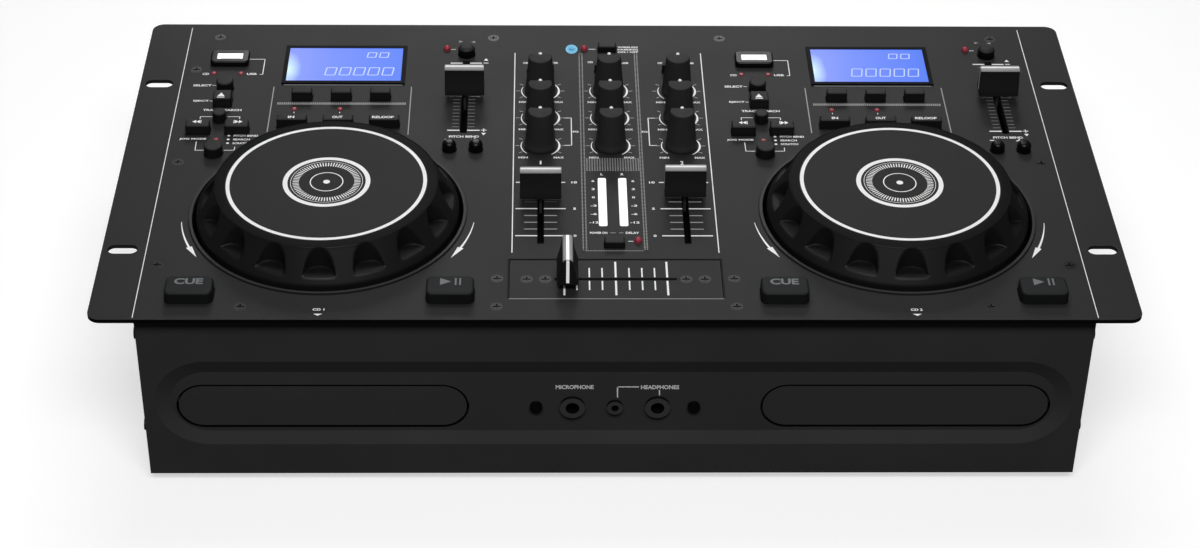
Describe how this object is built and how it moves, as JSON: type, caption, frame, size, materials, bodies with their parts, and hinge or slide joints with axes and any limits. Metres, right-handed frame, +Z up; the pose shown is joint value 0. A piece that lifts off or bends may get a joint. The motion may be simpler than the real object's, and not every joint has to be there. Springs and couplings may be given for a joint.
{
  "type": "dual disc player and mixer",
  "caption": "Rack-width table-top double disc player and mixer with jog wheels, faders, knobs, keys, displays and front disc trays.",
  "frame": {"origin": "centre of the footprint, on the surface the feet stand on", "axes": "+X to the user's right, +Y to the rear, +Z up; the disc trays open toward -Y"},
  "size_m": [0.4826, 0.26, 0.1212],
  "materials": {
    "panel_sheet": "satin",
    "case_sheet": "satin",
    "foot_rubber": "matte",
    "screw_steel": "satin",
    "display_plastic": "gloss",
    "socket_metal": "satin",
    "socket_plastic": "satin",
    "board": "satin",
    "works_metal": "satin",
    "housing_plastic": "matte",
    "jog_plastic": "satin",
    "tray_plastic": "satin",
    "fader_plastic": "satin",
    "key_plastic": "satin",
    "knob_plastic": "matte"
  },
  "bodies": {
    "chassis": {"top_panel": "panel_sheet", "case_tray": "case_sheet", "front_panel": "case_sheet", "rubber_feet": "foot_rubber", "screws": "screw_steel", "crossfader_plate": "panel_sheet", "displays_and_lights": "display_plastic", "usb_ports": "socket_metal", "front_jacks": "socket_plastic", "rear_sockets": "socket_plastic", "circuit_boards": "board", "mains_inlet": "socket_plastic", "disc_drives": "works_metal", "jog_bearings": "housing_plastic"},
    "jog_left": {"jog_wheel_left": "jog_plastic"},
    "jog_right": {"jog_wheel_right": "jog_plastic"},
    "tray_left": {"disc_tray_left": "tray_plastic", "tray_door_left": "tray_plastic"},
    "tray_right": {"disc_tray_right": "tray_plastic", "tray_door_right": "tray_plastic"},
    "pitch_left": {"pitch_fader_left": "fader_plastic"},
    "pitch_right": {"pitch_fader_right": "fader_plastic"},
    "channel_left": {"channel_fader_left": "fader_plastic"},
    "channel_right": {"channel_fader_right": "fader_plastic"},
    "crossfader_cap": {"crossfader": "fader_plastic"},
    "gain_knob_left_body": {"gain_knob_left": "knob_plastic"},
    "treble_knob_left_body": {"treble_knob_left": "knob_plastic"},
    "bass_knob_left_body": {"bass_knob_left": "knob_plastic"},
    "master_knob_body": {"master_knob": "knob_plastic"},
    "cue_mix_knob_body": {"cue_mix_knob": "knob_plastic"},
    "headphone_knob_body": {"headphone_knob": "knob_plastic"},
    "gain_knob_right_body": {"gain_knob_right": "knob_plastic"},
    "treble_knob_right_body": {"treble_knob_right": "knob_plastic"},
    "bass_knob_right_body": {"bass_knob_right": "knob_plastic"},
    "power_rocker": {"power_switch": "socket_plastic"},
    "source_left": {"source_switch_left": "knob_plastic"},
    "source_middle": {"source_switch_middle": "knob_plastic"},
    "source_right": {"source_switch_right": "knob_plastic"},
    "cue_key_left_cap": {"cue_key_left": "key_plastic"},
    "cue_key_right_cap": {"cue_key_right": "key_plastic"},
    "play_key_left_cap": {"play_key_left": "key_plastic"},
    "play_key_right_cap": {"play_key_right": "key_plastic"},
    "select_key_left_cap": {"select_key_left": "key_plastic"},
    "select_key_right_cap": {"select_key_right": "key_plastic"},
    "eject_key_left_cap": {"eject_key_left": "key_plastic"},
    "eject_key_right_cap": {"eject_key_right": "key_plastic"},
    "jog_mode_key_left_cap": {"jog_mode_key_left": "key_plastic"},
    "jog_mode_key_right_cap": {"jog_mode_key_right": "key_plastic"},
    "search_keys_left_cap": {"search_keys_left": "key_plastic"},
    "search_keys_right_cap": {"search_keys_right": "key_plastic"},
    "display_keys_left_cap": {"display_keys_left": "key_plastic"},
    "display_keys_right_cap": {"display_keys_right": "key_plastic"},
    "loop_keys_left_cap": {"loop_keys_left": "key_plastic"},
    "loop_keys_right_cap": {"loop_keys_right": "key_plastic"},
    "pitch_key_left_cap": {"pitch_key_left": "key_plastic"},
    "pitch_key_right_cap": {"pitch_key_right": "key_plastic"},
    "bend_keys_left_cap": {"bend_keys_left": "key_plastic"},
    "bend_keys_right_cap": {"bend_keys_right": "key_plastic"},
    "wireless_key_cap": {"wireless_key": "key_plastic"},
    "meter_key_cap": {"meter_key": "key_plastic"}
  },
  "joints": [
    {"name": "jog_left_spin", "type": "hinge", "parent": "chassis", "child": "jog_left", "pos_m": [-0.137, -0.04465, 0.105], "axis": [0, 0, 1], "continuous": true},
    {"name": "jog_right_spin", "type": "hinge", "parent": "chassis", "child": "jog_right", "pos_m": [0.137, -0.04465, 0.105], "axis": [0, 0, 1], "continuous": true},
    {"name": "tray_left_slide", "type": "slide", "parent": "chassis", "child": "tray_left", "axis": [0, -1, 0], "range_m": [0, 0.128]},
    {"name": "tray_right_slide", "type": "slide", "parent": "chassis", "child": "tray_right", "axis": [0, -1, 0], "range_m": [0, 0.128]},
    {"name": "pitch_fader_left_slide", "type": "slide", "parent": "chassis", "child": "pitch_left", "axis": [0, 1, 0], "range_m": [-0.03, 0.03]},
    {"name": "pitch_fader_right_slide", "type": "slide", "parent": "chassis", "child": "pitch_right", "axis": [0, 1, 0], "range_m": [-0.03, 0.03]},
    {"name": "channel_fader_left_slide", "type": "slide", "parent": "chassis", "child": "channel_left", "axis": [0, 1, 0], "range_m": [-0.0303, 0.0147]},
    {"name": "channel_fader_right_slide", "type": "slide", "parent": "chassis", "child": "channel_right", "axis": [0, 1, 0], "range_m": [-0.0323, 0.0127]},
    {"name": "crossfader_slide", "type": "slide", "parent": "chassis", "child": "crossfader_cap", "axis": [1, 0, 0], "range_m": [0, 0.045]},
    {"name": "gain_knob_left_turn", "type": "hinge", "parent": "chassis", "child": "gain_knob_left_body", "pos_m": [-0.0352, 0.0644, 0.11], "axis": [0, 0, 1], "range_deg": [-150, 150]},
    {"name": "treble_knob_left_turn", "type": "hinge", "parent": "chassis", "child": "treble_knob_left_body", "pos_m": [-0.0352, 0.0389, 0.11], "axis": [0, 0, 1], "range_deg": [-150, 150]},
    {"name": "bass_knob_left_turn", "type": "hinge", "parent": "chassis", "child": "bass_knob_left_body", "pos_m": [-0.0352, 0.0134, 0.11], "axis": [0, 0, 1], "range_deg": [-150, 150]},
    {"name": "master_knob_turn", "type": "hinge", "parent": "chassis", "child": "master_knob_body", "pos_m": [0, 0.0644, 0.11], "axis": [0, 0, 1], "range_deg": [-150, 150]},
    {"name": "cue_mix_knob_turn", "type": "hinge", "parent": "chassis", "child": "cue_mix_knob_body", "pos_m": [0, 0.0389, 0.11], "axis": [0, 0, 1], "range_deg": [-150, 150]},
    {"name": "headphone_knob_turn", "type": "hinge", "parent": "chassis", "child": "headphone_knob_body", "pos_m": [0, 0.0134, 0.11], "axis": [0, 0, 1], "range_deg": [-150, 150]},
    {"name": "gain_knob_right_turn", "type": "hinge", "parent": "chassis", "child": "gain_knob_right_body", "pos_m": [0.0352, 0.0644, 0.11], "axis": [0, 0, 1], "range_deg": [-150, 150]},
    {"name": "treble_knob_right_turn", "type": "hinge", "parent": "chassis", "child": "treble_knob_right_body", "pos_m": [0.0352, 0.0389, 0.11], "axis": [0, 0, 1], "range_deg": [-150, 150]},
    {"name": "bass_knob_right_turn", "type": "hinge", "parent": "chassis", "child": "bass_knob_right_body", "pos_m": [0.0352, 0.0134, 0.11], "axis": [0, 0, 1], "range_deg": [-150, 150]},
    {"name": "power_switch_tip", "type": "hinge", "parent": "chassis", "child": "power_rocker", "pos_m": [-0.125, 0.121, 0.054], "axis": [1, 0, 0], "range_deg": [-16, 0]},
    {"name": "source_switch_left_slide", "type": "slide", "parent": "chassis", "child": "source_left", "axis": [1, 0, 0], "range_m": [-0.01, 0]},
    {"name": "source_switch_middle_slide", "type": "slide", "parent": "chassis", "child": "source_middle", "axis": [1, 0, 0], "range_m": [0, 0.01]},
    {"name": "source_switch_right_slide", "type": "slide", "parent": "chassis", "child": "source_right", "axis": [1, 0, 0], "range_m": [0, 0.01]},
    {"name": "cue_key_left_press", "type": "slide", "parent": "chassis", "child": "cue_key_left_cap", "axis": [0, 0, -1], "range_m": [0, 0.0008], "stiffness_N_per_m": 400, "springref_m": -0.0005},
    {"name": "cue_key_right_press", "type": "slide", "parent": "chassis", "child": "cue_key_right_cap", "axis": [0, 0, -1], "range_m": [0, 0.0008], "stiffness_N_per_m": 400, "springref_m": -0.0005},
    {"name": "play_key_left_press", "type": "slide", "parent": "chassis", "child": "play_key_left_cap", "axis": [0, 0, -1], "range_m": [0, 0.0008], "stiffness_N_per_m": 400, "springref_m": -0.0005},
    {"name": "play_key_right_press", "type": "slide", "parent": "chassis", "child": "play_key_right_cap", "axis": [0, 0, -1], "range_m": [0, 0.0008], "stiffness_N_per_m": 400, "springref_m": -0.0005},
    {"name": "select_key_left_press", "type": "slide", "parent": "chassis", "child": "select_key_left_cap", "axis": [0, 0, -1], "range_m": [0, 0.0008], "stiffness_N_per_m": 400, "springref_m": -0.0005},
    {"name": "select_key_right_press", "type": "slide", "parent": "chassis", "child": "select_key_right_cap", "axis": [0, 0, -1], "range_m": [0, 0.0008], "stiffness_N_per_m": 400, "springref_m": -0.0005},
    {"name": "eject_key_left_press", "type": "slide", "parent": "chassis", "child": "eject_key_left_cap", "axis": [0, 0, -1], "range_m": [0, 0.0008], "stiffness_N_per_m": 400, "springref_m": -0.0005},
    {"name": "eject_key_right_press", "type": "slide", "parent": "chassis", "child": "eject_key_right_cap", "axis": [0, 0, -1], "range_m": [0, 0.0008], "stiffness_N_per_m": 400, "springref_m": -0.0005},
    {"name": "jog_mode_key_left_press", "type": "slide", "parent": "chassis", "child": "jog_mode_key_left_cap", "axis": [0, 0, -1], "range_m": [0, 0.0008], "stiffness_N_per_m": 400, "springref_m": -0.0005},
    {"name": "jog_mode_key_right_press", "type": "slide", "parent": "chassis", "child": "jog_mode_key_right_cap", "axis": [0, 0, -1], "range_m": [0, 0.0008], "stiffness_N_per_m": 400, "springref_m": -0.0005},
    {"name": "search_keys_left_press", "type": "slide", "parent": "chassis", "child": "search_keys_left_cap", "axis": [0, 0, -1], "range_m": [0, 0.0008], "stiffness_N_per_m": 400, "springref_m": -0.0005},
    {"name": "search_keys_right_press", "type": "slide", "parent": "chassis", "child": "search_keys_right_cap", "axis": [0, 0, -1], "range_m": [0, 0.0008], "stiffness_N_per_m": 400, "springref_m": -0.0005},
    {"name": "display_keys_left_press", "type": "slide", "parent": "chassis", "child": "display_keys_left_cap", "axis": [0, 0, -1], "range_m": [0, 0.0008], "stiffness_N_per_m": 400, "springref_m": -0.0005},
    {"name": "display_keys_right_press", "type": "slide", "parent": "chassis", "child": "display_keys_right_cap", "axis": [0, 0, -1], "range_m": [0, 0.0008], "stiffness_N_per_m": 400, "springref_m": -0.0005},
    {"name": "loop_keys_left_press", "type": "slide", "parent": "chassis", "child": "loop_keys_left_cap", "axis": [0, 0, -1], "range_m": [0, 0.0008], "stiffness_N_per_m": 400, "springref_m": -0.0005},
    {"name": "loop_keys_right_press", "type": "slide", "parent": "chassis", "child": "loop_keys_right_cap", "axis": [0, 0, -1], "range_m": [0, 0.0008], "stiffness_N_per_m": 400, "springref_m": -0.0005},
    {"name": "pitch_key_left_press", "type": "slide", "parent": "chassis", "child": "pitch_key_left_cap", "axis": [0, 0, -1], "range_m": [0, 0.0008], "stiffness_N_per_m": 400, "springref_m": -0.0005},
    {"name": "pitch_key_right_press", "type": "slide", "parent": "chassis", "child": "pitch_key_right_cap", "axis": [0, 0, -1], "range_m": [0, 0.0008], "stiffness_N_per_m": 400, "springref_m": -0.0005},
    {"name": "bend_keys_left_press", "type": "slide", "parent": "chassis", "child": "bend_keys_left_cap", "axis": [0, 0, -1], "range_m": [0, 0.0008], "stiffness_N_per_m": 400, "springref_m": -0.0005},
    {"name": "bend_keys_right_press", "type": "slide", "parent": "chassis", "child": "bend_keys_right_cap", "axis": [0, 0, -1], "range_m": [0, 0.0008], "stiffness_N_per_m": 400, "springref_m": -0.0005},
    {"name": "wireless_key_press", "type": "slide", "parent": "chassis", "child": "wireless_key_cap", "axis": [0, 0, -1], "range_m": [0, 0.0008], "stiffness_N_per_m": 400, "springref_m": -0.0005},
    {"name": "meter_key_press", "type": "slide", "parent": "chassis", "child": "meter_key_cap", "axis": [0, 0, -1], "range_m": [0, 0.0008], "stiffness_N_per_m": 400, "springref_m": -0.0005}
  ]
}
